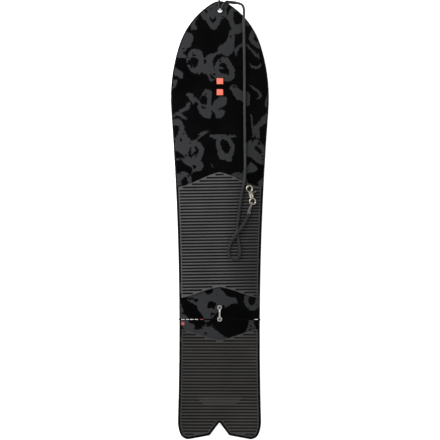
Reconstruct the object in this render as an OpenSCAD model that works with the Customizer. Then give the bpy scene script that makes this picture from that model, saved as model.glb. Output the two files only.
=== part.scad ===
// Binding-free powder snowboard with a swallow tail, two traction pads and a nose leash.
// It lies on its base: X across, +Y to the nose, +Z up, origin under the middle of the running base.

/* [Board] */
// Length from the nose tip to the ends of the swallow tail
board_length = 1510; // [1400:10:1600]
// Distance from the tip back to where the nose starts to rise
nose_bend_length = 460; // [400:10:500]
// Radius of the base under the rising nose
nose_base_radius = 1400; // [1300:10:1800]
// Radius of the deck over the rising nose, larger so that the board thins towards the tip
nose_deck_radius = 1480; // [1480:10:1900]
// Distance from the tail end forward to where the tail starts to rise
tail_bend_length = 180; // [120:10:240]
// Radius of the base under the rising tail
tail_radius = 1100; // [900:10:1600]

/* [Layers] */
// Thickness of the running base
base_t = 1.4; // [1:0.1:2]
// Thickness of the lower glass laminate
lower_laminate_t = 0.8; // [0.6:0.1:1.2]
// Thickness of the wood core
core_t = 6; // [5:0.5:8]
// Thickness of the upper glass laminate
upper_laminate_t = 0.8; // [0.6:0.1:1.2]
// Thickness of the printed topsheet
topsheet_t = 0.5; // [0.4:0.1:0.8]
// Width of each sidewall
sidewall_w = 7; // [5:0.5:8]
// Width of the bare sidewall ledge outside the topsheet
ledge_w = 4.5; // [3:0.5:6]
// Width of one stringer of the wood core
stringer_w = 20; // [15:1:30]

/* [Traction pads] */
// Height of a pad from the deck to its rib crests
pad_t = 4.5; // [3:0.5:6]
// Margin between a pad and the edge of the board
pad_margin = 8; // [6:0.5:8.5]
// Front pad: Y of the middle of its front edge
front_pad_front = 166; // [150:1:180]
// Front pad: Y of the middle of its rear edge
front_pad_rear = -230; // [-240:1:-220]
// Rear pad: Y of the middle of its front edge
rear_pad_front = -413; // [-420:1:-400]
// How far the curved pad edges drop from the middle to the side
front_pad_drop = 51; // [40:1:55]
// How far the inner pad edges drop from the middle to the side
inner_pad_drop = 39; // [30:1:42]

/* [Leash anchor] */
// Y of the front screw of the anchor plate
anchor_front_y = -301; // [-310:1:-290]
// Distance between the two screws
anchor_pitch = 40; // [40:1:40]
// Radius of the round feet
anchor_foot_r = 8.1; // [7.5:0.1:9]
// Height of the round feet
anchor_foot_h = 4; // [3.5:0.1:5]
// Width of the raised bar
anchor_bar_w = 5.2; // [4.5:0.1:7]

/* [Nose eyelet] */
// Distance of the eyelet from the tip
eyelet_from_tip = 32; // [30:1:34]
// Radius of the hole through the eyelet
eyelet_r = 7.5; // [7:0.1:8]
// Width of the eyelet's flange beyond the hole
eyelet_flange_w = 4; // [3.5:0.1:5]

/* [Leash] */
// Diameter of the braided leash cord
cord_d = 9; // [8:0.5:9]
// Diameter of the thin cord of the nose loop and of the sewn eye
thin_cord_d = 5; // [4:0.5:5]
// Radius of the round barrel of the snap hook
snap_barrel_r = 7.3; // [6.5:0.1:7.4]
// Angle of the snap hook, turned to the left of straight ahead
snap_angle = 14; // [10:1:18]

/* [Hidden] */

half_length = board_length / 2;
nose_y = half_length - nose_bend_length;
tail_y = tail_bend_length - half_length;
fine = 256;

// Heights of the layer boundaries on the flat of the board
base_top = base_t;
core_bottom = base_top + lower_laminate_t;
core_top = core_bottom + core_t;
topsheet_bottom = core_top + upper_laminate_t;
deck = topsheet_bottom + topsheet_t;
pad_top = deck + pad_t;

// Heights of the centres of the nose arcs, below and above the core
low_nose_c = nose_base_radius;
high_nose_c = nose_deck_radius + deck;

// Outline of the right half from the tip clockwise: [radius or length, sweep, steps].
// Clockwise sweeps are negative, and a straight run has no sweep.
outline_legs = [
    [53.8, -32, 4],
    [265, -40, 10],
    [593, -22.3, 9],
    [10151, 6.03, 10],
    [111.35, -23.57, 5],
    [30, -78.66, 8],
    [66.6, 0, 1],
    [9, -43, 4]];
// The last turn, at the bottom of the swallow tail: radius and sweep
notch_r = 3;
notch_sweep = 53.5;

// Ends of the wood core
core_front = 640;
core_rear = -660;

// Margin that lets a cutting solid pass right through
over = 1;

// Nose eyelet: its place, and the slope of the board there
eyelet_y = half_length - eyelet_from_tip;
eyelet_run = eyelet_y - nose_y;
eyelet_tilt = asin(eyelet_run / (nose_base_radius + nose_deck_radius) * 2);
eyelet_base_z = nose_base_radius - sqrt(pow(nose_base_radius, 2) - pow(eyelet_run, 2));
eyelet_deck_z = high_nose_c - sqrt(pow(nose_deck_radius, 2) - pow(eyelet_run, 2));
eyelet_mid_z = (eyelet_base_z + eyelet_deck_z) / 2;
eyelet_half_h = (eyelet_deck_z - eyelet_base_z) / 2 * cos(eyelet_tilt);
eyelet_wall = 1.3;
eyelet_rim_h = 1;
eyelet_flange_r = eyelet_r + eyelet_flange_w;
// How far the upper flange is let into the deck, and the gap round both flanges
eyelet_sink = 0.2;
eyelet_gap = 0.02;

// Leash anchor
anchor_mid_y = anchor_front_y - anchor_pitch / 2;
anchor_seat_h = 2;
anchor_recess_r = 5.6;
bar_in_r = 15;
bar_out_r = 18.5;
bar_centre_z = -8.5;
screw_head_r = 5.4;
screw_head_h = 1.9;
screw_r = 2.95;
insert_bore_r = 3;
insert_r = 5;
insert_flange_r = 9;
insert_flange_h = 1;

// Route of the braided cord: sleeve, round the nose, down the deck, loop on the front pad, whipping
leash_route = [
    [22, 752.3, 86.8], [40, 750.6, 83.2], [56, 749, 79.8], [70, 747, 77.2], [80.5, 739, 75.2],
    [83.5, 724, 74.2], [82.5, 707, 72.8], [82, 690, 68], [82.5, 655, 58.8], [83.5, 605, 47.2],
    [84.5, 545, 35.6], [85, 475, 25.2], [85, 400, 18], [86, 325, 14.6], [87, 250, 14.2], [87.5, 190, 14.2],
    [87, 160, 15.6], [85.5, 136, 19.2], [80.5, 114, 19], [74, 80, 18.8], [67, 28, 18.8], [62, -14, 18.8],
    [60.5, -40, 18.8], [63, -62, 18.8], [67, -81, 18.8], [70.2, -98, 18.8], [70.5, -114.5, 18.8],
    [64.5, -129, 18.8], [50, -135, 18.8], [35.5, -129, 18.8], [29.5, -114.5, 18.8], [31, -97, 18.8],
    [37, -80, 18.8], [47.5, -60, 22.4], [60, -41.5, 30.4], [72.5, -26, 25.2], [84.5, -10, 20],
    [94.5, 8.5, 19.5]];
leash_steps = 2;

// Route of the thin cord: sleeve mouth, deck, down the eyelet, under and round the tip, deck, down the eyelet
nose_loop_route = [
    [20.5, 752.6, 87.1], [13.6, 751, 86.4], [9.4, 744, 84], [6.4, 735.6, 82], [4.2, 727, 82.2],
    [3.4, 722.6, 78.4], [3.4, 724.8, 72], [3.4, 727, 65.6], [3.4, 729.6, 59.8], [2.8, 737.6, 63.8],
    [1, 746, 68.8], [-1.4, 753.6, 71.4], [-3, 759.4, 75.2], [-3.2, 760, 81.6], [-3.4, 757.4, 87],
    [-3.8, 749.4, 84.8], [-4.4, 740, 82], [-4.2, 732.4, 81.4], [-3.8, 725.6, 82], [-3.4, 722.6, 77.4],
    [-3.4, 725.2, 70.5], [-3.4, 726.4, 67]];
nose_loop_steps = 2;

// Route of the sewn eye: left leg, over the ring's wire, through the ring, under the wire, right leg
leash_eye_route = [
    [96.9, 23.8, 19.6], [98.2, 30, 20.2], [101.6, 40, 23.6], [106.4, 49, 27.2], [110.2, 55.9, 27.9],
    [112, 61.4, 24.6], [112, 61.4, 18.6], [110.2, 55.9, 16], [108, 48, 16.7], [105.8, 39, 17],
    [103.8, 29.5, 18.2], [102.6, 22.2, 19.2]];
leash_eye_steps = 2;

// Sleeve on the first straight stretch of the cord
sleeve_from = [20, 752.5, 87.2];
sleeve_to = [56, 749, 79.7];
sleeve_r = 5.6;
sleeve_bore_r = 4.9;

// Whipping between the end of the cord and the legs of the eye
whipping_at = [95.2, 9.6, 19.5];
whipping_angle = -19;
whipping_l = 13;
whipping_r = 5.3;
whipping_end_r = 4.4;

// Snap hook: places along its own axis from the middle of the swivel ring
snap_at = [113.3, 65.4, pad_top + 7.6];
ring_r = 10;
ring_wire_r = 1.8;
stem_r = 2.4;
stem_bore_r = 2.5;
stem_head_r = 3.8;
stem_head_from = 17;
stem_head_h = 2.2;
barrel_from = 13;
barrel_h = 12;
hook_c = 45.2;
hook_r = 9.75;
hook_wire_r = 2.25;
hook_from = -62;
hook_to = 188;
gate_to = 160;
gate_reach = 18.9;
gate_from = 245;
gate_w = 4;
gate_hub_r = 3.4;
pivot = [0, 30];
pin_r = 1.2;
pin_bore_r = 1.25;
cheek_t = 10;
slot_t = 4.5;
spring_r = 2.2;
spring_wire_r = 0.3;
spring_from = 0.9;
spring_turns = 2;
spring_pitch = 0.65;

// ---- Functions ----

// Points of an arc from p with heading h, or the end of a straight run where the sweep is 0
function arc_points(p, h, r, s, n) =
    s == 0 ? [p + r * [cos(h), sin(h)]]
    : let (g = sign(s), c = p + g * r * [-sin(h), cos(h)])
      [for (k = [1:n]) c + g * r * [sin(h + s * k / n), -cos(h + s * k / n)]];

// Radius of a leg when the outline is drawn in by d
function inset_r(leg, d) = leg[1] == 0 ? leg[0] : leg[0] + sign(leg[1]) * d;

// All points of the legs from p with heading h
function walk(legs, d, p, h, i = 0) =
    i == len(legs) ? []
    : let (step = arc_points(p, h, inset_r(legs[i], d), legs[i][1], legs[i][2]))
      concat(step, walk(legs, d, step[len(step) - 1], h + legs[i][1], i + 1));

// Sum of all sweeps before the notch
function total_sweep(i = 0) = i == len(outline_legs) ? 0 : outline_legs[i][1] + total_sweep(i + 1);

// Right half of the outline drawn in by d, from the tip to the middle of the notch
function half_outline(d) =
    let (start = [0, half_length - d],
         side = concat([start], walk(outline_legs, d, start, 0)),
         mouth = side[len(side) - 1],
         h = total_sweep(),
         turn = (notch_r + d) * sin(notch_sweep),
         run = (mouth.x - turn) / -cos(h),
         foot = mouth + run * [cos(h), sin(h)])
    concat(side, [foot], arc_points(foot, h, notch_r + d, notch_sweep, 5));

// Closed outline drawn in by d
function outline(d) =
    let (right = half_outline(d))
    concat(right, [for (i = [len(right) - 2:-1:1]) [-right[i].x, right[i].y]]);

// Height of a curved pad edge at t, the share of the half width from the middle
function edge_drop(t) = 0.5 * t + 0.25 * (1 - cos(180 * t));

// Point of the cubic B-spline between its control points b and c at share t
function spline_point(a, b, c, d, t) =
    (pow(1 - t, 3) * a + (3 * pow(t, 3) - 6 * t * t + 4) * b + (1 + 3 * t + 3 * t * t - 3 * pow(t, 3)) * c
        + pow(t, 3) * d) / 6;

// Control point i of a route, mirrored past each end so that the curve meets the route's own ends
function control(p, i) =
    let (m = len(p) - 1)
    i < 0 ? 2 * p[0] - p[1] : i > m ? 2 * p[m] - p[m - 1] : p[i];

// Smooth route along control points p with n steps between neighbours
function smooth_route(p, n) =
    let (m = len(p) - 1)
    concat([for (i = [0:m - 1], k = [0:n - 1])
        spline_point(control(p, i - 1), p[i], p[i + 1], control(p, i + 2), k / n)], [p[m]]);

function unit(v) = v / norm(v);

// Direction of a route at its point i
function direction(p, i) = unit(p[min(i + 1, len(p) - 1)] - p[max(i - 1, 0)]);

// Sideways directions along a route, each turned as little as possible from the one before
function sides_along(p, n, i = 0) =
    let (t = direction(p, i), s = unit(n - (n * t) * t))
    i == len(p) - 1 ? [s] : concat([s], sides_along(p, s, i + 1));

// ---- Shared shapes ----

// Round tube of radius r along a route
module tube(p, r, sides) {
    side = sides_along(p, [0.1, 0.2, 1]);
    rings = [for (i = [0:len(p) - 1])
        let (t = direction(p, i), u = side[i], w = cross(t, u))
        for (k = [0:sides - 1]) p[i] + r * (cos(360 * k / sides) * u + sin(360 * k / sides) * w)];
    last = (len(p) - 1) * sides;
    walls = [for (i = [0:len(p) - 2], k = [0:sides - 1])
        let (a = i * sides + k, b = i * sides + (k + 1) % sides)
        each [[b + sides, b, a], [a + sides, b + sides, a]]];
    caps = [[for (k = [0:sides - 1]) k], [for (k = [sides - 1:-1:0]) last + k]];
    polyhedron(rings, concat(walls, caps));
}

// Side view of one end of a band, between two arcs that start at the bend
module bend(low_c, low_h, high_c, high_h) {
    difference() {
        translate([0, low_c]) circle(r = low_c - low_h, $fn = fine);
        translate([0, high_c]) circle(r = high_c - high_h, $fn = fine);
    }
}

// Band that follows the side view of the board between two heights
module band(low_h, high_h, low_c, high_c) {
    reach = half_length + 5;
    rotate([90, 0, 90]) linear_extrude(400, center = true) {
        translate([tail_y, low_h]) square([nose_y - tail_y, high_h - low_h]);
        intersection() {
            translate([nose_y, -over]) square([reach - nose_y, 150]);
            translate([nose_y, 0]) bend(low_c, low_h, high_c, high_h);
        }
        intersection() {
            translate([-reach, -over]) square([reach + tail_y, 150]);
            translate([tail_y, 0]) bend(tail_radius, low_h, tail_radius, high_h);
        }
    }
}

// Upright prism of the board's outline drawn in by d
module plan(d) {
    translate([0, 0, -over]) linear_extrude(150) polygon(outline(d));
}

// Upright block over all widths between two places along the board
module span(rear, front) {
    translate([-200, rear, -2 * over]) cube([400, front - rear, 160]);
}

// Axis of the eyelet, upright on the sloping nose
module at_eyelet() {
    translate([0, eyelet_y, eyelet_mid_z]) rotate([eyelet_tilt, 0, 0]) children();
}

// Room for the eyelet in the layers of the nose
module eyelet_room() {
    at_eyelet() {
        cylinder(h = 40, r = eyelet_r + eyelet_wall, center = true, $fn = 96);
        translate([0, 0, eyelet_half_h - eyelet_sink]) cylinder(h = 20, r = eyelet_flange_r, $fn = 96);
        translate([0, 0, eyelet_rim_h - eyelet_half_h - 20]) cylinder(h = 20, r = eyelet_flange_r, $fn = 96);
    }
}

// Room for the two inserts, above height z
module insert_room(z) {
    for (y = [anchor_front_y, anchor_front_y - anchor_pitch])
        translate([0, y, z]) cylinder(h = 20, r = insert_r, $fn = 64);
}

// ---- Board ----

module base_sheet() {
    color([0.09, 0.09, 0.1]) difference() {
        intersection() {
            band(0, base_top, low_nose_c, low_nose_c);
            plan(0);
        }
        eyelet_room();
    }
}

module lower_laminate() {
    color([0.75, 0.78, 0.7]) difference() {
        intersection() {
            band(base_top, core_bottom, low_nose_c, low_nose_c);
            plan(0);
        }
        eyelet_room();
    }
}

// Core layer inside an outline that is drawn in by d
module core_layer(d) {
    intersection() {
        band(core_bottom, core_top, low_nose_c, high_nose_c);
        plan(d);
    }
}

// Every second stringer of the wood core, counted from first
module stringers(first) {
    count = ceil(180 / stringer_w);
    intersection() {
        core_layer(sidewall_w);
        for (i = [-count:count])
            if ((i + count) % 2 == first)
                translate([(i - 0.5) * stringer_w, core_rear, -over])
                    cube([stringer_w, core_front - core_rear, 60]);
    }
}

module core_poplar() {
    color([0.87, 0.76, 0.55]) difference() {
        stringers(1);
        insert_room(core_bottom - over);
        for (y = [anchor_front_y, anchor_front_y - anchor_pitch])
            translate([0, y, core_bottom - over])
                cylinder(h = insert_flange_h + over, r = insert_flange_r, $fn = 64);
    }
}

module core_paulownia() {
    color([0.8, 0.68, 0.5]) stringers(0);
}

// Sidewall on the side that s points to
module sidewall(s) {
    intersection() {
        difference() {
            core_layer(0);
            plan(sidewall_w);
        }
        translate([s > 0 ? 0 : -200, core_rear, -over]) cube([200, core_front - core_rear, 60]);
    }
}

module sidewall_left() {
    color([0.06, 0.06, 0.06]) sidewall(-1);
}

module sidewall_right() {
    color([0.06, 0.06, 0.06]) sidewall(1);
}

module nose_spacer() {
    color([0.12, 0.12, 0.12]) difference() {
        intersection() {
            core_layer(0);
            span(core_front, half_length + over);
        }
        eyelet_room();
    }
}

// Spacer in the tail on the side that s points to
module tail_spacer(s) {
    intersection() {
        core_layer(0);
        translate([s > 0 ? 0 : -200, -half_length - over, -over])
            cube([200, half_length + over + core_rear, 60]);
    }
}

module tail_spacer_left() {
    color([0.12, 0.12, 0.12]) tail_spacer(-1);
}

module tail_spacer_right() {
    color([0.12, 0.12, 0.12]) tail_spacer(1);
}

module upper_laminate() {
    color([0.75, 0.78, 0.7]) difference() {
        intersection() {
            band(core_top, topsheet_bottom, high_nose_c, high_nose_c);
            plan(ledge_w);
        }
        eyelet_room();
        insert_room(core_bottom);
    }
}

module topsheet() {
    color([0.14, 0.14, 0.15]) difference() {
        intersection() {
            band(topsheet_bottom, deck, high_nose_c, high_nose_c);
            plan(ledge_w);
        }
        eyelet_room();
        insert_room(core_bottom);
    }
}

// ---- Traction pads ----

// Curved edge from side to side, apex at y in the middle, as points from left to right
function pad_edge(y, drop, half_w) =
    [for (i = [-13:13]) [half_w * i / 12, y + drop * edge_drop(abs(i) / 12)]];

module front_pad() {
    front = pad_edge(front_pad_front, -front_pad_drop, 140);
    rear = pad_edge(front_pad_rear, -inner_pad_drop, 140);
    color([0.32, 0.32, 0.32]) intersection() {
        translate([0, 0, deck]) linear_extrude(pad_t)
            polygon(concat(front, [for (i = [len(rear) - 1:-1:0]) rear[i]]));
        plan(pad_margin);
    }
}

module rear_pad() {
    front = pad_edge(rear_pad_front, inner_pad_drop, 140);
    color([0.22, 0.22, 0.22]) intersection() {
        band(deck, pad_top, high_nose_c, high_nose_c);
        plan(pad_margin);
        translate([0, 0, -over]) linear_extrude(100)
            polygon(concat(front, [[150, -half_length], [-150, -half_length]]));
    }
}

// ---- Leash anchor ----

module insert_at(y) {
    color([0.7, 0.7, 0.68]) translate([0, y, core_bottom]) difference() {
        union() {
            cylinder(h = insert_flange_h, r = insert_flange_r, $fn = 64);
            cylinder(h = deck - core_bottom, r = insert_r, $fn = 64);
        }
        translate([0, 0, -over]) cylinder(h = 20, r = insert_bore_r, $fn = 64);
    }
}

module insert_front() {
    insert_at(anchor_front_y);
}

module insert_rear() {
    insert_at(anchor_front_y - anchor_pitch);
}

module anchor_plate() {
    color([0.78, 0.78, 0.77]) translate([0, anchor_mid_y, deck]) difference() {
        union() {
            for (s = [-1, 1])
                translate([0, s * anchor_pitch / 2, 0])
                    cylinder(h = anchor_foot_h, r = anchor_foot_r, $fn = 96);
            translate([-anchor_bar_w / 2, 0, 0]) rotate([90, 0, 90]) linear_extrude(anchor_bar_w)
                intersection() {
                    translate([0, bar_centre_z]) difference() {
                        circle(r = bar_out_r, $fn = 128);
                        circle(r = bar_in_r, $fn = 128);
                    }
                    translate([-30, 0]) square([60, 30]);
                }
        }
        for (s = [-1, 1])
            translate([0, s * anchor_pitch / 2, 0]) {
                translate([0, 0, -over]) cylinder(h = 20, r = insert_bore_r + 0.2, $fn = 64);
                translate([0, 0, anchor_seat_h]) cylinder(h = 20, r = anchor_recess_r, $fn = 64);
            }
    }
}

// Pan-head screw with a cross recess, turned by a
module anchor_screw(y, a) {
    color([0.6, 0.6, 0.6]) translate([0, y, deck + anchor_seat_h]) rotate([0, 0, a]) difference() {
        union() {
            rotate_extrude($fn = 96) polygon([
                [0, 0], [screw_head_r, 0], [screw_head_r, screw_head_h * 0.5],
                [screw_head_r * 0.8, screw_head_h * 0.9], [screw_head_r * 0.5, screw_head_h],
                [0, screw_head_h]]);
            translate([0, 0, core_bottom - deck + 0.5])
                cylinder(h = deck - core_bottom, r = screw_r, $fn = 64);
        }
        for (q = [0, 90])
            rotate([0, 0, q]) translate([-3, -0.6, screw_head_h - 1.2]) cube([6, 1.2, 3]);
    }
}

module anchor_screw_front() {
    anchor_screw(anchor_front_y, 20);
}

module anchor_screw_rear() {
    anchor_screw(anchor_front_y - anchor_pitch, 45);
}

// ---- Nose eyelet ----

module eyelet_upper() {
    color([0.1, 0.1, 0.1]) at_eyelet() difference() {
        union() {
            cylinder(h = eyelet_half_h, r = eyelet_r + eyelet_wall, $fn = 96);
            translate([0, 0, eyelet_half_h - eyelet_sink])
                cylinder(h = eyelet_rim_h + eyelet_sink, r = eyelet_flange_r - eyelet_gap, $fn = 96);
        }
        cylinder(h = 40, r = eyelet_r, center = true, $fn = 96);
    }
}

module eyelet_lower() {
    color([0.1, 0.1, 0.1]) at_eyelet() difference() {
        union() {
            translate([0, 0, -eyelet_half_h]) {
                cylinder(h = eyelet_half_h, r = eyelet_r + eyelet_wall, $fn = 96);
                cylinder(h = eyelet_rim_h, r = eyelet_flange_r - eyelet_gap, $fn = 96);
            }
        }
        cylinder(h = 40, r = eyelet_r, center = true, $fn = 96);
    }
}

// ---- Leash ----

module nose_loop() {
    color([0.2, 0.2, 0.2]) tube(smooth_route(nose_loop_route, nose_loop_steps), thin_cord_d / 2, 8);
}

module leash_sleeve() {
    along = sleeve_to - sleeve_from;
    color([0.1, 0.1, 0.1]) translate(sleeve_from)
        rotate([0, acos(along.z / norm(along)), atan2(along.y, along.x)]) difference() {
            cylinder(h = norm(along), r = sleeve_r, $fn = 64);
            translate([0, 0, -over]) cylinder(h = norm(along) + 2 * over, r = sleeve_bore_r, $fn = 64);
        }
}

module leash_cord() {
    color([0.26, 0.26, 0.26]) tube(smooth_route(leash_route, leash_steps), cord_d / 2, 10);
}

module leash_whipping() {
    color([0.15, 0.15, 0.15]) translate(whipping_at) rotate([0, 0, whipping_angle]) rotate([-90, 0, 0])
        rotate_extrude($fn = 64) polygon([
            [0, 0], [whipping_end_r, 0], [whipping_r, 3], [whipping_r, whipping_l - 3],
            [whipping_end_r, whipping_l], [0, whipping_l]]);
}

module leash_eye() {
    color([0.24, 0.24, 0.24]) tube(smooth_route(leash_eye_route, leash_eye_steps), thin_cord_d / 2, 8);
}

// ---- Snap hook ----

module at_snap() {
    translate(snap_at) rotate([0, 0, snap_angle]) children();
}

// Rod of radius r along the snap's own axis
module rod(from, h, r) {
    translate([0, from, 0]) rotate([-90, 0, 0]) cylinder(h = h, r = r, $fn = 64);
}

module swivel_ring() {
    color([0.74, 0.7, 0.62]) at_snap() {
        rotate_extrude($fn = 96) translate([ring_r, 0]) circle(r = ring_wire_r, $fn = 48);
        rod(ring_r, stem_head_from + over - ring_r, stem_r);
        rod(stem_head_from, stem_head_h, stem_head_r);
    }
}

module snap_body() {
    color([0.74, 0.69, 0.6]) at_snap() difference() {
        union() {
            rod(barrel_from, barrel_h, snap_barrel_r);
            translate([0, barrel_from + barrel_h - over, 0]) rotate([-90, 0, 0])
                cylinder(h = 2, r1 = snap_barrel_r, r2 = 5, $fn = 64);
            intersection() {
                translate([-6, 22, -cheek_t / 2]) cube([12, 13, cheek_t]);
                translate([0, 28, -20]) cylinder(h = 40, r = 7.2, $fn = 96);
            }
            translate([2.7, 31, -cheek_t / 2]) cube([4.2, 6, cheek_t]);
            translate([0, hook_c, 0]) rotate([0, 0, hook_from])
                rotate_extrude(angle = hook_to - hook_from, $fn = 96)
                    translate([hook_r, 0]) circle(r = hook_wire_r, $fn = 48);
        }
        rod(barrel_from - over, stem_head_from - barrel_from + over, stem_bore_r);
        rod(stem_head_from - 0.2, stem_head_h + 0.6, stem_head_r + 0.2);
        translate([-9, 25.9, -slot_t / 2]) cube([18, 7.4, slot_t]);
        translate([0, 0, -slot_t / 2]) linear_extrude(slot_t)
            polygon([[-1, 26.5], [9, 26.5], [9, 19.6], [-1, 25]]);
        intersection() {
            translate([pivot.x, pivot.y, -10]) cylinder(h = 20, r = gate_reach + 0.3, $fn = 128);
            translate([-20, 40, -10]) cube([15, 20, 20]);
        }
        translate([-9, 33, -slot_t / 2]) cube([11.7, 8, slot_t]);
        translate([pivot.x, pivot.y, -10]) cylinder(h = 20, r = pin_bore_r, $fn = 64);
    }
}

module snap_gate() {
    lever = [[2, 27.2], [9.5, 26.8], [18, 29.2], [17.2, 32.2], [9.5, 30.4], [2.4, 31.6]];
    inner = hook_r - gate_w / 2;
    outer = hook_r + gate_w / 2;
    color([0.7, 0.66, 0.58]) at_snap() difference() {
        union() {
            translate([0, 0, -gate_w / 2]) linear_extrude(gate_w) {
                intersection() {
                    translate([0, hook_c]) difference() {
                        circle(r = outer, $fn = 128);
                        circle(r = inner, $fn = 128);
                    }
                    translate(pivot) circle(r = gate_reach, $fn = 128);
                    polygon([[0, hook_c], [0, hook_c] + 30 * [cos(gate_to), sin(gate_to)], [-30, hook_c - 20],
                        [0, hook_c] + 30 * [cos(gate_from), sin(gate_from)]]);
                }
                translate(pivot) circle(r = gate_hub_r, $fn = 64);
                polygon([[-3.3, 29.8], [0, hook_c] + (outer - 0.3) * [cos(gate_from - 5), sin(gate_from - 5)],
                    [0, hook_c] + (inner + 0.3) * [cos(gate_from - 2), sin(gate_from - 2)], [0.4, 33.2]]);
                polygon(lever);
            }
            translate([18, 30.7, 0]) cylinder(h = 4.4, r = 2.1, center = true, $fn = 48);
        }
        translate([pivot.x, pivot.y, -10]) cylinder(h = 20, r = pin_bore_r, $fn = 64);
        translate([pivot.x, pivot.y, 0.5]) cylinder(h = 5, r = 3.1, $fn = 64);
    }
}

module gate_pin() {
    color([0.8, 0.8, 0.8]) at_snap()
        translate([pivot.x, pivot.y, 0]) cylinder(h = cheek_t + 0.6, r = pin_r, center = true, $fn = 64);
}

module gate_spring() {
    color([0.5, 0.5, 0.5]) at_snap()
        for (i = [0:spring_turns - 1])
            translate([pivot.x, pivot.y, spring_from + i * spring_pitch])
                rotate_extrude($fn = 64) translate([spring_r, 0]) circle(r = spring_wire_r, $fn = 32);
}

base_sheet();
lower_laminate();
core_poplar();
core_paulownia();
sidewall_left();
sidewall_right();
nose_spacer();
tail_spacer_left();
tail_spacer_right();
upper_laminate();
topsheet();
front_pad();
rear_pad();
insert_front();
insert_rear();
anchor_plate();
anchor_screw_front();
anchor_screw_rear();
eyelet_upper();
eyelet_lower();
nose_loop();
leash_sleeve();
leash_cord();
leash_whipping();
leash_eye();
swivel_ring();
snap_body();
snap_gate();
gate_pin();
gate_spring();
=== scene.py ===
import math

import bmesh
import bpy
import numpy as np
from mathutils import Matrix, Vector
from mathutils.bvhtree import BVHTree
from mathutils.geometry import delaunay_2d_cdt


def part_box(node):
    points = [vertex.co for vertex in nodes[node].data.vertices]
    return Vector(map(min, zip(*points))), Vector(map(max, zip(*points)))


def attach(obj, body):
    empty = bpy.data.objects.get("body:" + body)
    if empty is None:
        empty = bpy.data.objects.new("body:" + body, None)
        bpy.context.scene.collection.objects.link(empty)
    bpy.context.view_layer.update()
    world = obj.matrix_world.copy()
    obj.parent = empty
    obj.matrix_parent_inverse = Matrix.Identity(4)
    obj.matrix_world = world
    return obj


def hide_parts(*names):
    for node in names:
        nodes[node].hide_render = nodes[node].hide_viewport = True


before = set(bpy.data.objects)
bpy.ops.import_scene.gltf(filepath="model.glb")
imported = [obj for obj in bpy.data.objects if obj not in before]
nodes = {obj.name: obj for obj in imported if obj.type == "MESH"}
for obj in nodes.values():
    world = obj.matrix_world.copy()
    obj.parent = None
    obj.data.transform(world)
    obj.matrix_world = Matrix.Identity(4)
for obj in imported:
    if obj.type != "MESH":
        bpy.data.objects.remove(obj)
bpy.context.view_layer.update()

MM = 0.001

# Heights that the CAD model sets
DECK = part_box("front_pad")[0].z
PAD_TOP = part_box("front_pad")[1].z
PAD_HEIGHT = PAD_TOP - DECK

# ---- Camera and studio ----

CAMERA_HEIGHT = 50.0
VIEW_WIDTH = 1.518
CAMERA_ROLL = math.radians(0.065)


def add_object(name, data):
    obj = bpy.data.objects.new(name, data)
    bpy.context.scene.collection.objects.link(obj)
    return obj


def make_camera():
    data = bpy.data.cameras.new("camera")
    data.lens = data.sensor_width * CAMERA_HEIGHT / VIEW_WIDTH
    camera = add_object("camera", data)
    camera.location = (0.001, 0.001, CAMERA_HEIGHT)
    camera.rotation_euler = (0, 0, CAMERA_ROLL)
    bpy.context.scene.camera = camera


make_camera()

# ---- Routes of the cords, the same points as in the CAD model ----

LEASH_ROUTE = [
    (22, 752.3, 86.8), (40, 750.6, 83.2), (56, 749, 79.8), (70, 747, 77.2), (80.5, 739, 75.2),
    (83.5, 724, 74.2), (82.5, 707, 72.8), (82, 690, 68), (82.5, 655, 58.8), (83.5, 605, 47.2),
    (84.5, 545, 35.6), (85, 475, 25.2), (85, 400, 18), (86, 325, 14.6), (87, 250, 14.2), (87.5, 190, 14.2),
    (87, 160, 15.6), (85.5, 136, 19.2), (80.5, 114, 19), (74, 80, 18.8), (67, 28, 18.8), (62, -14, 18.8),
    (60.5, -40, 18.8), (63, -62, 18.8), (67, -81, 18.8), (70.2, -98, 18.8), (70.5, -114.5, 18.8),
    (64.5, -129, 18.8), (50, -135, 18.8), (35.5, -129, 18.8), (29.5, -114.5, 18.8), (31, -97, 18.8),
    (37, -80, 18.8), (47.5, -60, 22.4), (60, -41.5, 30.4), (72.5, -26, 25.2), (84.5, -10, 20),
    (94.5, 8.5, 19.5)]
NOSE_LOOP_ROUTE = [
    (20.5, 752.6, 87.1), (13.6, 751, 86.4), (9.4, 744, 84), (6.4, 735.6, 82), (4.2, 727, 82.2),
    (3.4, 722.6, 78.4), (3.4, 724.8, 72), (3.4, 727, 65.6), (3.4, 729.6, 59.8), (2.8, 737.6, 63.8),
    (1, 746, 68.8), (-1.4, 753.6, 71.4), (-3, 759.4, 75.2), (-3.2, 760, 81.6), (-3.4, 757.4, 87),
    (-3.8, 749.4, 84.8), (-4.4, 740, 82), (-4.2, 732.4, 81.4), (-3.8, 725.6, 82), (-3.4, 722.6, 77.4),
    (-3.4, 725.2, 70.5), (-3.4, 726.4, 67)]
EYE_ROUTE = [
    (96.9, 23.8, 19.6), (98.2, 30, 20.2), (101.6, 40, 23.6), (106.4, 49, 27.2), (110.2, 55.9, 27.9),
    (112, 61.4, 24.6), (112, 61.4, 18.6), (110.2, 55.9, 16), (108, 48, 16.7), (105.8, 39, 17),
    (103.8, 29.5, 18.2), (102.6, 22.2, 19.2)]
CORD_D = 9 * MM
THIN_CORD_D = 5 * MM
SLEEVE_ENDS = ((20, 752.5, 87.2), (56, 749, 79.7))
SLEEVE_RADIUS = 5.45 * MM
WHIPPING_AT = (95.2, 9.6, 19.5)
WHIPPING_ANGLE = math.radians(-19)
WHIPPING_LENGTH = 13 * MM
WHIPPING_RADIUS = 5.12 * MM
WHIPPING_SHOULDER = 0.9 * MM
THREAD_TURNS = 15
THREAD_RELIEF = 0.16 * MM


# ---- Node materials ----


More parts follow.
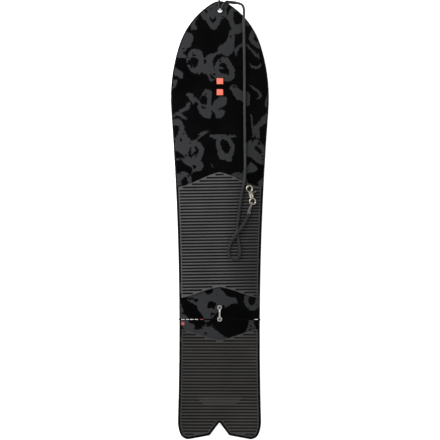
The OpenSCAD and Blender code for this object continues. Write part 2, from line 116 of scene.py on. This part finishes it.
class Look:
    """A material round one Principled shader, with short calls for the nodes that feed it."""

    def __init__(self, name, roughness, color, **sockets):
        self.material = bpy.data.materials.new(name)
        self.material.use_nodes = True
        self.tree = self.material.node_tree
        self.shader = next(n for n in self.tree.nodes if n.type == "BSDF_PRINCIPLED")
        self.feed(self.shader.inputs["Roughness"], roughness)
        self.feed(self.shader.inputs["Base Color"], (*color, 1))
        for key, value in sockets.items():
            self.feed(self.shader.inputs[SOCKET_NAMES[key]], value)

    def feed(self, socket, value):
        if isinstance(value, bpy.types.NodeSocket):
            self.tree.links.new(value, socket)
        else:
            socket.default_value = value

    def node(self, kind, inputs, **settings):
        made = self.tree.nodes.new("ShaderNode" + kind)
        for key, value in settings.items():
            setattr(made, key, value)
        for key, value in inputs.items():
            self.feed(made.inputs[key], value)
        return made

    def place(self, scale=(1, 1, 1)):
        coords = self.node("TexCoord", {}).outputs["Object"]
        return self.node("Mapping", {"Vector": coords, "Scale": scale}).outputs["Vector"]

    def along(self, vector, axis):
        return self.node("SeparateXYZ", {"Vector": vector}).outputs[axis]

    def scaled(self, vector, amount):
        inputs = {0: vector, "Scale": amount}
        return self.node("VectorMath", inputs, operation="SCALE").outputs[0]

    def noise(self, vector, scale, detail=2.0, output="Fac"):
        inputs = {"Vector": vector, "Scale": scale, "Detail": detail}
        return self.node("TexNoise", inputs).outputs[output]

    def wave(self, vector, scale, distortion=0.0, direction="X"):
        inputs = {"Vector": vector, "Scale": scale, "Distortion": distortion}
        return self.node("TexWave", inputs, bands_direction=direction).outputs["Fac"]

    def math(self, operation, a, b=0.0):
        return self.node("Math", {0: a, 1: b}, operation=operation).outputs[0]

    def span(self, value, low, high, start=0.0, end=1.0):
        inputs = {"Value": value, "From Min": low, "From Max": high, "To Min": start, "To Max": end}
        return self.node("MapRange", inputs).outputs["Result"]

    def mix(self, share, a, b):
        """Colours a and b, each a triple or a socket, mixed by share."""
        a, b = ((*c, 1) if isinstance(c, tuple) else c for c in (a, b))
        return self.node("Mix", {0: share, 6: a, 7: b}, data_type="RGBA").outputs[2]

    def warp(self, vector, scale, amount, detail=2.0):
        """The vector pushed about by up to half of amount, by noise of that scale."""
        push = self.noise(vector, scale, detail, "Color")
        inputs = {0: push, 1: (0.5, 0.5, 0.5)}
        centred = self.node("VectorMath", inputs, operation="SUBTRACT").outputs[0]
        inputs = {0: vector, 1: self.scaled(centred, amount)}
        return self.node("VectorMath", inputs, operation="ADD").outputs[0]

    def color(self, value):
        self.feed(self.shader.inputs["Base Color"], value)

    def roughness(self, value, low, high):
        self.feed(self.shader.inputs["Roughness"], self.span(value, 0.3, 0.7, low, high))

    def bump(self, height, depth):
        inputs = {"Height": height, "Distance": depth, "Strength": 1.0}
        self.feed(self.shader.inputs["Normal"], self.node("Bump", inputs).outputs["Normal"])


SOCKET_NAMES = {
    "metallic": "Metallic", "specular": "Specular IOR Level", "coat": "Coat Weight",
    "coat_roughness": "Coat Roughness", "sheen": "Sheen Weight", "sheen_roughness": "Sheen Roughness"}


def mottled(name, roughness, dark, light, scale, depth, **sockets):
    """A surface whose colour, gloss and relief all follow fine noise."""
    look = Look(name, roughness, light, **sockets)
    place = look.place()
    cloud = look.noise(place, scale * 0.12, 3.0)
    grain = look.noise(place, scale, 4.0)
    look.color(look.mix(look.span(look.math("ADD", cloud, grain), 0.7, 1.3), dark, light))
    look.roughness(cloud, roughness - 0.08, roughness + 0.12)
    look.bump(grain, depth)
    return look.material


# Two-tone camouflage: grey rings, bands and blots on a black ground; the grey is painted darker towards the
# right as painted shade
CAMO_BLACK = (0.0008, 0.0008, 0.0011)
CAMO_GREY_LEFT = (0.038, 0.038, 0.042)
CAMO_GREY_PAINTED_SHADE_RIGHT = (0.026, 0.028, 0.027)
RING_CELL = 118 * MM
CELL_STRETCH = (1.3, 0.88, 1)
CELL_TURN = 0.5
RING_MIDDLE = 0.25
RING_HALF_WIDTH = 0.085
RINGED_SHARE = 0.62
BAND_LEVEL = 0.47
BAND_HALF_WIDTH = 0.02
BAND_KEPT_FROM = 0.53
NOSE_BLOT_FROM = 0.58
MIDDLE_BLOT_FROM = 0.49
HOLE_FROM = 0.66
PRINT_EDGE = 0.004
NOSE_PRINT_FROM = 104 * MM
MIDDLE_PRINT = (-424 * MM, -222 * MM)
DARK_CENTRE = (38 * MM, -345 * MM)
DARK_CENTRE_RADIUS = 56 * MM


def camo_rings(look, place):
    """Rings round the seeds of stretched cells, left out of some cells."""
    inputs = {"Vector": place, "Scale": CELL_STRETCH, "Rotation": (0, 0, CELL_TURN)}
    stretched = look.node("Mapping", inputs).outputs["Vector"]
    inputs = {"Vector": stretched, "Scale": 1 / RING_CELL, "Randomness": 0.85}
    cells = look.node("TexVoronoi", inputs, voronoi_dimensions="2D")
    off_ring = look.math("ABSOLUTE", look.math("SUBTRACT", cells.outputs["Distance"], RING_MIDDLE))
    ring = look.math("SUBTRACT", RING_HALF_WIDTH, off_ring)
    cell_value = look.node("SeparateColor", {"Color": cells.outputs["Color"]}).outputs[0]
    left_out = look.span(cell_value, RINGED_SHARE, RINGED_SHARE + 0.02, 0.0, 0.3)
    return look.math("SUBTRACT", ring, left_out)


def camo_bands(look, place):
    """Stretches of the line along which soft noise crosses one level."""
    off_level = look.math("SUBTRACT", look.noise(place, 8.5, 1.0), BAND_LEVEL)
    band = look.math("SUBTRACT", BAND_HALF_WIDTH, look.math("ABSOLUTE", off_level))
    kept = look.math("SUBTRACT", look.noise(place, 9.5, 1.0), BAND_KEPT_FROM)
    return look.math("MINIMUM", band, kept)


def camo_blots(look, place, lengthways):
    """Filled shapes, larger between the pads than on the nose."""
    blot_from = look.span(lengthways, -0.1, 0.1, MIDDLE_BLOT_FROM, NOSE_BLOT_FROM)
    return look.math("SUBTRACT", look.noise(place, 13, 1.0), blot_from)


def camo_area(look, swirled, ragged):
    """1 on the nose and round the dark centre of the middle, 0 elsewhere."""
    y = look.along(swirled, "Y")
    nose = look.math("GREATER_THAN", y, NOSE_PRINT_FROM)
    middle = look.math("MULTIPLY", look.math("GREATER_THAN", y, MIDDLE_PRINT[0]),
                       look.math("LESS_THAN", y, MIDDLE_PRINT[1]))
    ends = {0: ragged, 1: (*DARK_CENTRE, 0)}
    distance = look.node("VectorMath", ends, operation="DISTANCE").outputs["Value"]
    off_centre = look.span(distance, DARK_CENTRE_RADIUS, DARK_CENTRE_RADIUS + 3 * MM)
    return look.math("MAXIMUM", nose, look.math("MULTIPLY", middle, off_centre))


def camo_print():
    look = Look("camo_topsheet", 0.4, CAMO_GREY_LEFT, specular=0.07, coat=0.015, coat_roughness=0.25)
    plane = look.place((1, 1, 0))
    swirled = look.warp(plane, 9, 0.06, 1.0)
    ragged = look.warp(swirled, 110, 0.012, 3.0)
    shapes = look.math("MAXIMUM", camo_rings(look, ragged), camo_bands(look, ragged))
    shapes = look.math("MAXIMUM", shapes, camo_blots(look, ragged, look.along(plane, "Y")))
    between_holes = look.math("SUBTRACT", HOLE_FROM, look.noise(ragged, 45, 2.0))
    shapes = look.span(look.math("MINIMUM", shapes, between_holes), -PRINT_EDGE, PRINT_EDGE)
    printed = look.math("MULTIPLY", shapes, camo_area(look, swirled, ragged))
    speck = look.noise(plane, 900, 2.0)
    cover = look.math("MULTIPLY", printed, look.span(speck, 0.2, 0.8, 0.88, 1.0))
    # Painted shade: the grey turns darker and greener towards the right, standing in for light falling off
    # across the board.
    painted_shade_sideways = look.span(look.along(swirled, "X"), -0.15, 0.16)
    look.color(look.mix(cover, CAMO_BLACK, look.mix(painted_shade_sideways, CAMO_GREY_LEFT, CAMO_GREY_PAINTED_SHADE_RIGHT)))
    look.roughness(look.noise(plane, 9, 4.0), 0.3, 0.46)
    look.bump(speck, 0.00002)
    return look.material


def foam(name, dark, light, painted_shade_right_share=1.0):
    """Closed-cell foam: fine cells, worn tops, and painted shade that may darken the colour towards the
    right.
    """
    look = Look(name, 0.85, light, specular=0.2, sheen=0.06, sheen_roughness=0.5)
    place = look.place()
    worn = look.noise(place, 11, 4.0)
    cells = look.node("TexVoronoi", {"Vector": place, "Scale": 1500}).outputs["Distance"]
    grain = look.noise(place, 700, 2.0)
    color = look.mix(look.span(look.math("ADD", worn, grain), 0.7, 1.3), dark, light)
    # Painted shade: the colour darkens towards the right, in place of light falling off across the pad.
    brightness = look.span(look.along(place, "X"), 0.0, 0.11, 1.0, painted_shade_right_share)
    look.color(look.scaled(color, brightness))
    look.roughness(grain, 0.78, 0.92)
    look.bump(cells, 0.00012)
    return look.material


def wood(name, dark, light, pitch):
    """Fibres and waving growth rings that run along the board."""
    look = Look(name, 0.6, light)
    grain_place = look.place((1, 0.05, 1))
    fibre = look.noise(grain_place, 420, 5.0)
    rings = look.wave(look.warp(grain_place, 12, 0.02), 1 / pitch, 3.0)
    look.color(look.mix(look.span(look.math("ADD", fibre, rings), 0.5, 1.5), dark, light))
    look.roughness(fibre, 0.5, 0.7)
    look.bump(fibre, 0.00008)
    return look.material


def metal(name, dark, light, roughness, metallic=0.85):
    """Plated metal: drawn scratches one way and dulled patches."""
    look = Look(name, roughness, light, metallic=metallic)
    scratches = look.noise(look.place((1, 14, 1)), 260, 4.0)
    patches = look.noise(look.place(), 90, 3.0)
    look.color(look.mix(look.span(look.math("ADD", patches, scratches), 0.75, 1.25), dark, light))
    look.roughness(patches, roughness - 0.07, roughness + 0.14)
    look.bump(scratches, 0.00003)
    return look.material


def yarn(name, dark, light, tail_share=1.0):
    """Braided polyester: fine filaments, and a colour that may deepen towards the tail."""
    look = Look(name, 0.75, light, specular=0.25, sheen=0.12, sheen_roughness=0.4)
    place = look.place()
    filaments = look.wave(look.warp(place, 90, 0.004), 900, 2.0, "DIAGONAL")
    fuzz = look.noise(place, 1200, 3.0)
    patches = look.noise(place, 60, 2.0)
    color = look.mix(look.span(look.math("ADD", filaments, patches), 0.4, 1.5), dark, light)
    brightness = look.span(look.along(place, "Y"), 0.1, 0.22, tail_share, 1.0)
    look.color(look.scaled(color, brightness))
    look.roughness(fuzz, 0.65, 0.88)
    look.bump(look.math("ADD", filaments, fuzz), 0.00008)
    return look.material


def structured_base():
    """Sintered base with a ground linear structure and cloudy graphite."""
    look = Look("structured_base", 0.32, (0.02, 0.02, 0.022), specular=0.4)
    cloud = look.noise(look.place(), 26, 5.0)
    lines = look.wave(look.place(), 420, 0.4)
    look.color(look.mix(look.span(cloud, 0.3, 0.7), (0.009, 0.009, 0.011), (0.022, 0.022, 0.025)))
    look.roughness(cloud, 0.26, 0.42)
    look.bump(lines, 0.00006)
    return look.material


def glass_laminate():
    """Woven glass in clear resin, seen at the cut edges."""
    look = Look("glass_laminate", 0.25, (0.3, 0.34, 0.26), specular=0.5, coat=0.3)
    warp = look.wave(look.place(), 320)
    weft = look.wave(look.place(), 320, direction="Y")
    weave = look.math("MULTIPLY", warp, weft)
    look.color(look.mix(look.span(weave, 0.0, 1.0), (0.16, 0.19, 0.13), (0.34, 0.38, 0.29)))
    look.bump(weave, 0.00005)
    return look.material


camo = camo_print()
# Painted shade darkens the front pad's crests towards the right.
front_crest = foam("front_pad_crest", (0.066, 0.066, 0.065), (0.1, 0.1, 0.098), 0.42)
front_groove = foam("front_pad_groove", (0.002, 0.002, 0.002), (0.005, 0.005, 0.005))
# The rear pad's crests are painted darker than the front pad's, partly as painted shade of light falling off
# towards the tail; their warmer grey is their own.
rear_crest = foam("rear_pad_crest", (0.036, 0.034, 0.032), (0.054, 0.051, 0.047))
rear_groove = foam("rear_pad_groove", (0.006, 0.006, 0.006), (0.012, 0.011, 0.011))
black_abs = mottled("black_sidewall", 0.42, (0.0022, 0.0022, 0.0024), (0.0052, 0.0052, 0.0055), 700, 0.00004,
                    specular=0.25)
black_enamel = mottled("black_enamel", 0.28, (0.003, 0.003, 0.003), (0.007, 0.007, 0.007), 500, 0.00002,
                       specular=0.35, coat=0.25)
shrunk_rubber = mottled("shrunk_rubber", 0.6, (0.006, 0.006, 0.006), (0.012, 0.012, 0.012), 600, 0.00008,
                        specular=0.25)
thread = yarn("whipping_thread", (0.01, 0.01, 0.01), (0.024, 0.023, 0.022))
cord_yarn = yarn("cord_yarn", (0.02, 0.02, 0.02), (0.056, 0.056, 0.055), 0.5)
nose_yarn = yarn("nose_loop_yarn", (0.016, 0.016, 0.016), (0.05, 0.05, 0.049))
eye_yarn = yarn("leash_eye_yarn", (0.07, 0.07, 0.068), (0.19, 0.187, 0.18))
satin_silver = metal("satin_silver", (0.46, 0.46, 0.45), (0.72, 0.72, 0.7), 0.36, 0.6)
nickel = metal("nickel_plate", (0.4, 0.36, 0.3), (0.78, 0.71, 0.6), 0.3, 0.8)
steel = metal("screw_steel", (0.22, 0.21, 0.2), (0.46, 0.44, 0.41), 0.34)
coral_ink = mottled("coral_ink", 0.5, (0.86, 0.17, 0.11), (1.0, 0.22, 0.15), 900, 0.00002, specular=0.2)
red_ink = mottled("red_ink", 0.5, (0.34, 0.08, 0.08), (0.46, 0.12, 0.115), 900, 0.00002, specular=0.2)
white_ink = mottled("white_ink", 0.5, (0.6, 0.6, 0.58), (0.78, 0.78, 0.76), 900, 0.00002, specular=0.2)
black_ink = mottled("black_ink", 0.4, (0.0006, 0.0006, 0.0008), (0.0014, 0.0014, 0.0016), 900, 0.00002,
                    specular=0.07)


# ---- Making pieces ----


def make_piece(name, verts, faces, materials, kinds=None, smooth=True):
    """A new mesh object that rides on the board; kinds holds each face's material index."""
    mesh = bpy.data.meshes.new(name)
    mesh.from_pydata([tuple(v) for v in verts], [], faces)
    for material in materials:
        mesh.materials.append(material)
    if kinds is not None:
        mesh.polygons.foreach_set("material_index", kinds)
    mesh.polygons.foreach_set("use_smooth", [smooth] * len(mesh.polygons))
    mesh.update()
    piece = add_object(name, mesh)
    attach(piece, "board")
    return piece


def unit(vectors):
    return vectors / np.linalg.norm(vectors, axis=-1, keepdims=True)


# ---- Cords ----


def smooth_route(points, steps=12):
    """Cubic B-spline along control points that are mirrored past both ends, in metres."""
    p = np.array(points, float) * MM
    p = np.vstack([2 * p[0] - p[1], p, 2 * p[-1] - p[-2]])
    t = np.arange(steps)[:, None] / steps
    parts = []
    for a, b, c, d in zip(p, p[1:], p[2:], p[3:]):
        near = (1 - t) ** 3 * a + (3 * t ** 3 - 6 * t ** 2 + 4) * b
        far = (1 + 3 * t + 3 * t ** 2 - 3 * t ** 3) * c + t ** 3 * d
        parts.append((near + far) / 6)
    return np.vstack([*parts, p[-2:-1]])


def evenly(points, spacing):
    """The same route with even spacing, and how far along each point lies."""
    gaps = np.linalg.norm(np.diff(points, axis=0), axis=1)
    along = np.concatenate([[0], np.cumsum(gaps)])
    places = np.linspace(0, along[-1], round(along[-1] / spacing) + 1)
    return np.column_stack([np.interp(places, along, points[:, k]) for k in range(3)]), places


def sweep(name, path, radii, material):
    """Closed tube along path; radii holds a radius for each ring and side."""
    rings, sides = radii.shape
    along = unit(np.gradient(path, axis=0))
    side = np.array([0.1, 0.2, 1.0])
    across = []
    for direction in along:
        side = unit(side - side.dot(direction) * direction)
        across.append(side)
    across = np.array(across)
    upward = np.cross(along, across)
    angle = np.arange(sides) * 2 * math.pi / sides
    spokes = np.cos(angle)[:, None] * across[:, None] + np.sin(angle)[:, None] * upward[:, None]
    verts = (path[:, None] + radii[:, :, None] * spokes).reshape(-1, 3)
    faces = []
    for i in range(rings - 1):
        for k in range(sides):
            after = (k + 1) % sides
            faces.append((i * sides + k, i * sides + after, (i + 1) * sides + after, (i + 1) * sides + k))
    faces.append(tuple(range(sides - 1, -1, -1)))
    faces.append(tuple(range((rings - 1) * sides, rings * sides)))
    return make_piece(name, verts, faces, [material])


def braid(name, route, diameter, material, slot, strands, lay, relief, sides, spacing):
    """Round braid with strands going both ways, each over one and under one."""
    path, along = evenly(smooth_route(route), spacing)
    around = np.arange(sides)[None] / sides
    turned = along[:, None] / lay
    left = strands * (around + turned)
    right = strands * (around - turned)
    left_over = (np.floor(left) + np.floor(right)) % 2 == 0
    across = np.where(left_over, left, right) % 1 - 0.5
    ahead = np.where(left_over, right, left) % 1 - 0.5
    height = np.cos(math.pi * across) ** 0.7 * (0.5 + 0.5 * np.cos(math.pi * ahead))
    radii = diameter / 2 - relief * (1 - height)
    return sweep(name, path, radii, material), path


def straight(start, end, count):
    share = np.linspace(0, 1, count)[:, None]
    return np.array(start) * (1 - share) + np.array(end) * share


def make_sleeve():
    """Shrunk tube over the start of the cord, drawn in at its ends and slightly wrinkled."""
    rings, sides = 90, 48
    start, end = (np.array(p) * MM for p in SLEEVE_ENDS)
    share = np.linspace(0, 1, rings)[:, None]
    around = np.arange(sides)[None] * 2 * math.pi / sides
    mouth = 0.55 * MM * (np.exp(-share * 30) + np.exp(-(1 - share) * 30))
    wrinkle = 0.08 * MM * np.sin(60 * share + 2 * np.sin(around)) * np.sin(math.pi * share)
    radii = SLEEVE_RADIUS - mouth + wrinkle
    return sweep("leash_shrink_tube", straight(start, end, rings), radii, shrunk_rubber)


def make_whipping():
    """Tight turns of thread round the end of the cord."""
    rings, sides = 105, 40
    heading = np.array([-math.sin(WHIPPING_ANGLE), math.cos(WHIPPING_ANGLE), 0])
    start = np.array(WHIPPING_AT) * MM
    share = np.linspace(0, 1, rings)[:, None]
    around = np.arange(sides)[None] / sides
    near_end = np.clip(1 - share * 5, 0, 1) ** 2 + np.clip(1 - (1 - share) * 5, 0, 1) ** 2
    thread_bulge = np.abs(np.sin(math.pi * (THREAD_TURNS * share + around)))
    radii = WHIPPING_RADIUS - WHIPPING_SHOULDER * near_end + THREAD_RELIEF * thread_bulge
    path = straight(start, start + heading * WHIPPING_LENGTH, rings)
    return sweep("leash_thread_whipping", path, radii, thread)


THICK_BRAID = {"strands": 8, "lay": 38 * MM, "relief": 0.55 * MM, "sides": 40, "spacing": 1.0 * MM}
THIN_BRAID = {"strands": 6, "lay": 20 * MM, "relief": 0.35 * MM, "sides": 30, "spacing": 0.7 * MM}
leash, leash_path = braid("leash_braid", LEASH_ROUTE, CORD_D, cord_yarn, "cord", **THICK_BRAID)
nose_loop = braid("nose_loop_braid", NOSE_LOOP_ROUTE, THIN_CORD_D, nose_yarn, "thin_cord", **THIN_BRAID)[0]
eye = braid("leash_eye_braid", EYE_ROUTE, THIN_CORD_D, eye_yarn, "thin_cord", **THIN_BRAID)[0]
sleeve = make_sleeve()
whipping = make_whipping()
for piece, cad_name in ((leash, "leash_cord"), (nose_loop, "nose_loop"), (eye, "leash_eye"),
                        (sleeve, "leash_sleeve"), (whipping, "leash_whipping")):
    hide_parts(cad_name)


# ---- The deck, read from the CAD model ----


def tree_of(node):
    mesh = nodes[node].data
    return BVHTree.FromPolygons([v.co for v in mesh.vertices], [tuple(p.vertices) for p in mesh.polygons])


deck_tree = tree_of("topsheet")


def deck_height(x, y):
    place = deck_tree.ray_cast(Vector((x, y, 1)), Vector((0, 0, -1)))[0]
    return DECK if place is None else place.z


def top_loop(node):
    """Longest edge loop round a CAD node's upper faces, anticlockwise from above."""
    bm = bmesh.new()
    bm.from_mesh(nodes[node].data)
    bmesh.ops.remove_doubles(bm, verts=bm.verts, dist=0.001 * MM)
    bm.normal_update()
    bm.verts.index_update()
    upper = {f for f in bm.faces if f.normal.z > 0.7}
    places = {v.index: (v.co.x, v.co.y) for v in bm.verts}
    after = {}
    for face in upper:
        for corner in face.loops:
            if sum(f in upper for f in corner.edge.link_faces) == 1:
                after[corner.vert.index] = corner.link_loop_next.vert.index
    bm.free()
    longest = []
    while after:
        start, here = after.popitem()
        loop = [start]
        while here in after:
            loop.append(here)
            here = after.pop(here)
        if len(loop) > len(longest):
            longest = loop
    return np.array([places[i] for i in longest])


def subdivided(loop, longest_gap):
    """The closed loop with long edges cut up and nearly coincident points dropped."""
    points = []
    for a, b in zip(loop, np.roll(loop, -1, axis=0)):
        gap = np.linalg.norm(b - a)
        if gap < 0.05 * MM:
            continue
        cuts = max(1, math.ceil(gap / longest_gap))
        points.extend(a + (b - a) * k / cuts for k in range(cuts))
    return np.array(points)


def inset(loop, amount):
    """The closed anticlockwise loop drawn in by amount."""
    before = unit(loop - np.roll(loop, 1, axis=0))
    after = unit(np.roll(loop, -1, axis=0) - loop)
    inward = unit(np.stack([-(before + after)[:, 1], (before + after)[:, 0]], axis=1))
    square = np.maximum((inward * np.stack([-before[:, 1], before[:, 0]], axis=1)).sum(1, keepdims=True), 0.5)
    return loop + amount * inward / square


def room_inside(points, loop):
    """How far inside the loop each point lies, negative outside."""
    a, b = loop, np.roll(loop, -1, axis=0)
    edge = b - a
    off = points[:, None] - a[None]
    share = np.clip((off * edge).sum(2) / (edge * edge).sum(1), 0, 1)
    distance = np.linalg.norm(off - share[..., None] * edge, axis=2).min(1)
    crosses = (a[:, 1] > points[:, None, 1]) != (b[:, 1] > points[:, None, 1])
    with np.errstate(divide="ignore", invalid="ignore"):
        at_x = a[:, 0] + (points[:, None, 1] - a[:, 1]) / edge[:, 1] * edge[:, 0]
    within = (crosses & (points[:, None, 0] < at_x)).sum(1) % 2 == 1
    return np.where(within, distance, -distance)


# ---- Ribbed traction pads ----

RIB_PITCH = 10.75 * MM
GROOVE_WIDTH = 5.7 * MM
GROOVE_DEPTH = 2.6 * MM
GROOVE_TAPER = 0.5 * MM
PAD_RIM = 2.6 * MM
PAD_LIP = 0.7 * MM
SHORTEST_GROOVE = 4 * MM
GROOVE_STEP = 0.5 * MM
SLANT_ROOM = 20 * MM
END_STEPS = 8


def grooves_in(loop, slope):
    """Ends of every groove that fits inside the loop with a rim round it."""
    low, high = loop.min(0), loop.max(0)
    across = np.arange(low[0], high[0], GROOVE_STEP)
    found = []
    for y in np.arange(high[1] - PAD_RIM - GROOVE_WIDTH, low[1] - SLANT_ROOM, -RIB_PITCH):
        line = np.column_stack([across, y + slope * across])
        fits = room_inside(line, loop) > PAD_RIM + GROOVE_WIDTH / 2
        edges = np.flatnonzero(np.diff(np.concatenate([[0], fits.astype(int), [0]])))
        for start, stop in zip(edges[::2], edges[1::2]):
            if across[stop - 1] - across[start] > SHORTEST_GROOVE:
                found.append((line[start], line[stop - 1]))
    return found


def stadium(start, end, radius):
    """Round-ended outline about a line, anticlockwise."""
    heading = math.atan2(*(end - start)[::-1])
    points = []
    for centre, first in ((end, heading - math.pi / 2), (start, heading + math.pi / 2)):
        for k in range(END_STEPS + 1):
            angle = first + math.pi * k / END_STEPS
            points.append(centre + radius * np.array([math.cos(angle), math.sin(angle)]))
    return np.array(points)


def filled(loops):
    """Triangles between an outer loop and the convex loops inside it, as indices into all points."""
    points = [Vector(p) for loop in loops for p in loop]
    owner = [i for i, loop in enumerate(loops) for _ in loop]
    starts = np.cumsum([0] + [len(loop) for loop in loops])
    edges = []
    for first, loop in zip(starts[1:], loops[1:]):
        edges.extend((int(first) + k, int(first) + (k + 1) % len(loop)) for k in range(len(loop)))
    result = delaunay_2d_cdt(points, edges, [list(range(len(loops[0])))], 1, 1e-9)
    kept = []
    for face in result[2]:
        corners = [result[3][i][0] for i in face]
        owners = {owner[c] for c in corners}
        if len(owners) > 1 or owners == {0}:
            kept.append(tuple(corners))
    return kept


def ribbed_pad(name, node, slope, materials):
    """Foam pad with a rolled edge, a flat rim and closed round-ended grooves."""
    outline = subdivided(top_loop(node), 8 * MM)
    verts, faces, kinds = [], [], []

    def ring(points, height):
        first = len(verts)
        verts.extend((x, y, deck_height(x, y) + height) for x, y in points)
        return list(range(first, len(verts)))

    def bridge(low, high, kind):
        count = len(low)
        for k in range(count):
            after = (k + 1) % count
            faces.append((low[k], low[after], high[after], high[k]))
            kinds.append(kind)

    bevel = 0.3 * PAD_LIP
    steps = ((0, 0), (0, PAD_HEIGHT - PAD_LIP), (bevel, PAD_HEIGHT - bevel), (PAD_LIP, PAD_HEIGHT))
    rings = [ring(inset(outline, amount) if amount else outline, height) for amount, height in steps]
    for low, high in zip(rings, rings[1:]):
        bridge(low, high, 0)
    faces.extend(tuple(rings[0][i] for i in reversed(t)) for t in filled([outline]))
    kinds.extend([0] * (len(faces) - len(kinds)))

    half = GROOVE_WIDTH / 2
    profile = ((half + bevel, bevel, 0), (half, PAD_LIP, 1), (half - GROOVE_TAPER, GROOVE_DEPTH, 1))
    grooves = grooves_in(outline, slope)
    mouths = [stadium(a, b, half + PAD_LIP) for a, b in grooves]
    top_points = [inset(outline, PAD_LIP), *mouths]
    top_ids = list(rings[-1])
    for (a, b), mouth in zip(grooves, mouths):
        upper = ring(mouth, PAD_HEIGHT)
        top_ids.extend(upper)
        for radius, depth, kind in profile:
            lower = ring(stadium(a, b, radius), PAD_HEIGHT - depth)
            bridge(upper, lower, kind)
            upper = lower
        faces.append(tuple(upper))
        kinds.append(1)
    faces.extend(tuple(top_ids[i] for i in t) for t in filled(top_points))
    kinds.extend([0] * (len(faces) - len(kinds)))
    piece = make_piece(name, verts, faces, materials, kinds=kinds, smooth=False)
    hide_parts(node)


ribbed_pad("front_ribbed_pad", "front_pad", 0.016, [front_crest, front_groove])
ribbed_pad("rear_ribbed_pad", "rear_pad", 0.0, [rear_crest, rear_groove])


# ---- Printed marks, as thin films on the deck ----

FILM = 0.12 * MM


def film(name, loops, material, lift=0.0):
    """Thin printed film of one or more closed loops, laid on the deck."""
    verts, faces = [], []
    for loop in loops:
        first = len(verts)
        verts.extend((x, y, deck_height(x, y) + FILM + lift) for x, y in loop)
        faces.extend(tuple(first + i for i in t) for t in filled([loop]))
    piece = make_piece(name, verts, faces, [material], smooth=False)
    thick = piece.modifiers.new("film", "SOLIDIFY")
    thick.thickness = FILM
    thick.offset = -1


def slab(left, right, low, high):
    """Closed loop round an upright rectangle."""
    corners = np.array([(left, low), (right, low), (right, high), (left, high)]) * MM
    return subdivided(corners, 4 * MM)


def level_bars():
    """Two plain level bars in the nose's accent colour."""
    half_width, height, lows = 11, 20, (432, 470)
    film("coral_bars", [slab(-half_width, half_width, low, low + height) for low in lows], coral_ink)


def measuring_line():
    """Black line across the board with plain ticks near both ends."""
    middle, half_line, gap_for_anchor = -342, 2.8, 11
    edge = float(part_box("front_pad")[1].x) / MM - 3
    low, high = middle - half_line, middle + half_line
    halves = [slab(-edge, -gap_for_anchor, low, high), slab(gap_for_anchor, edge, low, high)]
    film("black_line", halves, black_ink)
    tick, half_tick = 11, 1.1
    starts = (-132, -116.5, -101, -85.5, 121)
    ticks = [slab(x, x + tick, middle - half_tick, middle + half_tick) for x in starts]
    film("white_ticks", ticks, white_ink, FILM)
    film("red_tick", [slab(-67, -67 + tick, middle - 1, middle + 1)], red_ink, FILM)


def round_mark():
    centre, radius, corners = np.array([-127, -356.6]) * MM, 6 * MM, 40
    angles = np.arange(corners) * 2 * math.pi / corners
    circle = np.column_stack([np.cos(angles), np.sin(angles)])
    film("red_disc", [centre + radius * circle], red_ink)


level_bars()
measuring_line()
round_mark()


# ---- Materials of the CAD nodes that stay ----

poplar = wood("poplar_wood", (0.42, 0.28, 0.13), (0.66, 0.5, 0.28), 9 * MM)
paulownia = wood("paulownia_wood", (0.36, 0.25, 0.14), (0.56, 0.43, 0.26), 14 * MM)
laminate = glass_laminate()
NODE_LOOKS = {
    "base_sheet": structured_base(), "lower_laminate": laminate, "upper_laminate": laminate,
    "core_poplar": poplar, "core_paulownia": paulownia, "sidewall_left": black_abs,
    "sidewall_right": black_abs, "nose_spacer": black_abs, "tail_spacer_left": black_abs,
    "tail_spacer_right": black_abs, "topsheet": camo, "insert_front": steel, "insert_rear": steel,
    "anchor_plate": satin_silver, "anchor_screw_front": steel, "anchor_screw_rear": steel,
    "eyelet_upper": black_enamel, "eyelet_lower": black_enamel, "swivel_ring": nickel,
    "snap_body": nickel, "snap_gate": steel, "gate_pin": steel, "gate_spring": steel}
for node_name, material in NODE_LOOKS.items():
    mesh = nodes[node_name].data
    mesh.materials.clear()
    mesh.materials.append(material)


# ---- Floor and light ----


def area_light(name, place, size, power):
    data = bpy.data.lights.new(name, "AREA")
    data.size = size
    data.energy = power
    lamp = add_object(name, data)
    lamp.location = place
    lamp.rotation_euler = (-Vector(place)).to_track_quat("-Z", "Y").to_euler()


def make_floor():
    mesh = bpy.data.meshes.new("floor")
    reach = 30.0
    corners = [(x * reach, y * reach, 0) for x, y in ((-1, -1), (1, -1), (1, 1), (-1, 1))]
    mesh.from_pydata(corners, [], [(0, 1, 2, 3)])
    look = Look("floor", 0.9, (0.9, 0.9, 0.9), specular=0.1)
    look.feed(look.shader.inputs["Emission Color"], (1, 1, 1, 1))
    look.feed(look.shader.inputs["Emission Strength"], 0.75)
    mesh.materials.append(look.material)
    add_object("floor", mesh)


def make_world():
    """Bright round the horizon and dim overhead, like a studio tent with an open top."""
    world = bpy.data.worlds.new("studio")
    bpy.context.scene.world = world
    world.use_nodes = True
    tree = world.node_tree
    background = tree.nodes["Background"]
    coords = tree.nodes.new("ShaderNodeTexCoord")
    axes = tree.nodes.new("ShaderNodeSeparateXYZ")
    ramp = tree.nodes.new("ShaderNodeValToRGB")
    tree.links.new(coords.outputs["Generated"], axes.inputs[0])
    tree.links.new(axes.outputs["Z"], ramp.inputs["Fac"])
    ramp.color_ramp.elements[0].position = 0.45
    ramp.color_ramp.elements[0].color = (0.85, 0.85, 0.85, 1)
    ramp.color_ramp.elements[1].position = 0.95
    ramp.color_ramp.elements[1].color = (0.05, 0.05, 0.05, 1)
    tree.links.new(ramp.outputs["Color"], background.inputs["Color"])


make_floor()
make_world()
area_light("key_light", (-1.5, 1.2, 1.7), 1.6, 62)
area_light("fill_light", (2.4, -1.6, 2.2), 2.2, 30)
bpy.context.scene.view_settings.view_transform = "Standard"
